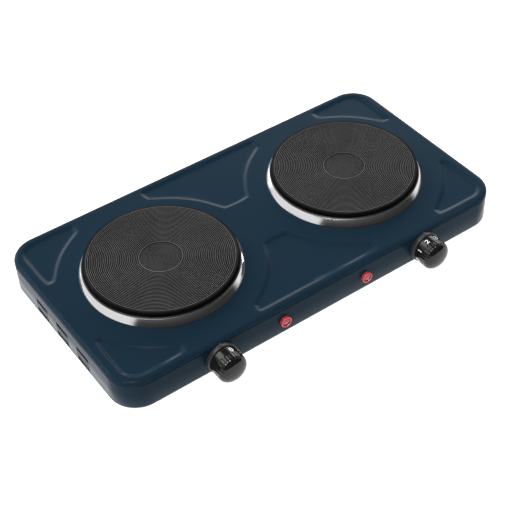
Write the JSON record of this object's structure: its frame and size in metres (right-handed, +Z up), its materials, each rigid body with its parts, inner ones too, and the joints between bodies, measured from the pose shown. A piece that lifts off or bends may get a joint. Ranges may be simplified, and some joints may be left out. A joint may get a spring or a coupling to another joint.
{
  "type": "electric hot plate",
  "caption": "Countertop electric cooker with cast-iron hotplates in a pressed-steel body, thermostat knobs, signal lamps and rubber feet.",
  "frame": {"origin": "on the table, under the middle of the overall box", "axes": "+X to the cook's right along the housing's length, +Y to the rear, +Z up"},
  "size_m": [0.4584, 0.266, 0.0616],
  "materials": {
    "enamel": "dark blue gloss stoving enamel on pressed steel",
    "cast_iron": "machined with fine concentric rings, black heat-proof coat",
    "bright_steel": "polished stainless steel",
    "zinc_steel": "bright zinc-plated sheet and fasteners",
    "black_plastic": "glossy black phenolic moulding",
    "grey_plastic": "satin dark grey moulding",
    "dial_print": "white pad print",
    "rubber": "matt black rubber",
    "ceramic": "unglazed steatite",
    "insulation": "pressed mineral fibre",
    "heating_wire": "oxidised resistance alloy in its magnesia filling",
    "red_lens": "red translucent moulding",
    "neon_glass": "clear glass bulb",
    "brass": "bright brass",
    "brown_sleeve": "silicone sleeve",
    "blue_sleeve": "silicone sleeve",
    "white_sleeve": "braided glass sleeve",
    "green_sleeve": "silicone sleeve with a yellow stripe"
  },
  "bodies": {
    "cooker": {"housing": "enamel", "base_plate": "zinc_steel", "foot_front_left": "rubber", "foot_screw_front_left": "zinc_steel", "foot_front_right": "rubber", "foot_screw_front_right": "zinc_steel", "foot_rear_left": "rubber", "foot_screw_rear_left": "zinc_steel", "foot_rear_right": "rubber", "foot_screw_rear_right": "zinc_steel", "hotplate_left": "cast_iron", "trim_ring_left": "bright_steel", "heating_coil_left": "heating_wire", "insulation_disc_left": "insulation", "heat_shield_left": "zinc_steel", "clamp_bracket_left": "zinc_steel", "centre_stud_left": "zinc_steel", "stud_nut_left": "zinc_steel", "ceramic_terminal_left": "ceramic", "thermostat_left": "ceramic", "thermostat_bracket_left": "zinc_steel", "thermostat_screw_left_outer": "zinc_steel", "thermostat_screw_left_inner": "zinc_steel", "knob_bezel_left": "grey_plastic", "indicator_lens_left": "red_lens", "neon_lamp_left": "neon_glass", "lens_clip_left": "zinc_steel", "live_lead_left": "brown_sleeve", "switched_lead_left": "white_sleeve", "neutral_lead_left": "blue_sleeve", "hotplate_right": "cast_iron", "trim_ring_right": "bright_steel", "heating_coil_right": "heating_wire", "insulation_disc_right": "insulation", "heat_shield_right": "zinc_steel", "clamp_bracket_right": "zinc_steel", "centre_stud_right": "zinc_steel", "stud_nut_right": "zinc_steel", "ceramic_terminal_right": "ceramic", "thermostat_right": "ceramic", "thermostat_bracket_right": "zinc_steel", "thermostat_screw_right_outer": "zinc_steel", "thermostat_screw_right_inner": "zinc_steel", "knob_bezel_right": "grey_plastic", "indicator_lens_right": "red_lens", "neon_lamp_right": "neon_glass", "lens_clip_right": "zinc_steel", "live_lead_right": "brown_sleeve", "switched_lead_right": "white_sleeve", "neutral_lead_right": "blue_sleeve", "cord_gland": "rubber", "mains_terminal_block": "ceramic", "earth_screw": "brass", "earth_lead": "green_sleeve"},
    "left_control": {"knob_left": "black_plastic", "knob_shaft_left": "zinc_steel", "knob_spring_left": "zinc_steel"},
    "right_control": {"knob_right": "black_plastic", "knob_shaft_right": "zinc_steel", "knob_spring_right": "zinc_steel"}
  },
  "joints": [
    {"name": "left_knob_turn", "type": "hinge", "parent": "cooker", "child": "left_control", "pos_m": [-0.125, -0.1057, 0.027], "axis": [0, 1, 0], "range_deg": [-270, 0]},
    {"name": "right_knob_turn", "type": "hinge", "parent": "cooker", "child": "right_control", "pos_m": [0.125, -0.1057, 0.027], "axis": [0, 1, 0], "range_deg": [-141, 129]}
  ]
}
